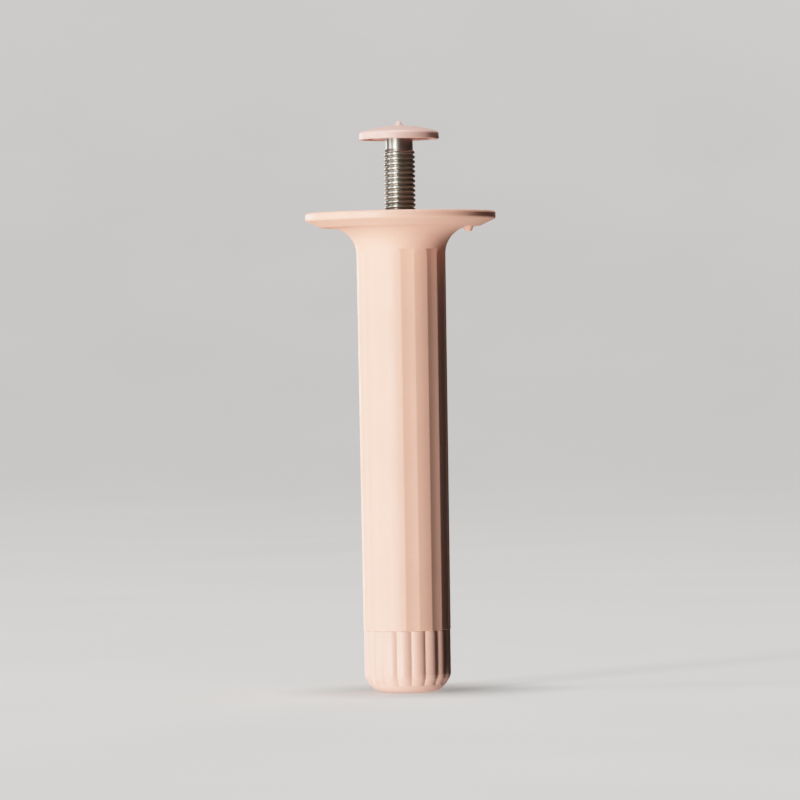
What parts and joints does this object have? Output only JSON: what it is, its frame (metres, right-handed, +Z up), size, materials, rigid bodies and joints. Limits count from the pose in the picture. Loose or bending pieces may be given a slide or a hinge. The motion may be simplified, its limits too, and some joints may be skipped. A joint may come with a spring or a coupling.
{
  "type": "adjustable cabinet leg",
  "caption": "Moulded plastic cabinet leg: fluted round column under a wide flange, steel clamp bolt with a domed cap above it, and a ribbed levelling foot that screws out below.",
  "frame": {"origin": "centre of the foot's underside, on the floor", "axes": "+Z up along the leg, from the foot to the clamp cap; -Y towards the camera"},
  "size_m": [0.0596, 0.0596, 0.1785],
  "materials": {
    "moulding": "satin moulded, peach beige",
    "steel": "zinc plated"
  },
  "bodies": {
    "column": {"leg_column": "moulding", "nut_bush": "moulding", "clamp_nut": "steel", "foot_nut": "steel"},
    "bolt_rod": {"clamp_rod": "steel"},
    "bolt_cap": {"clamp_cap": "moulding"},
    "stud": {"foot_stud": "steel"},
    "foot": {"ribbed_foot": "moulding"}
  },
  "joints": [
    {"name": "bolt_travel", "type": "slide", "parent": "column", "child": "bolt_rod", "axis": [0, 0, 1], "range_m": [-0.022, 0.012]},
    {"name": "bolt_turn", "type": "hinge", "parent": "bolt_rod", "child": "bolt_cap", "pos_m": [0, 0, 0.174], "axis": [0, 0, 1], "range_deg": [-5282, 2882]},
    {"name": "foot_turn", "type": "hinge", "parent": "foot", "child": "stud", "pos_m": [0, 0, 0.01], "axis": [0, 0, 1], "range_deg": [-2, 6002]},
    {"name": "foot_travel", "type": "slide", "parent": "stud", "child": "column", "axis": [0, 0, 1], "range_m": [0, 0.025]}
  ],
  "couplings": [
    {"joint": "bolt_turn", "follows": "bolt_travel", "rad_per_m": 4188.8},
    {"joint": "foot_turn", "follows": "foot_travel", "rad_per_m": 4188.8}
  ]
}
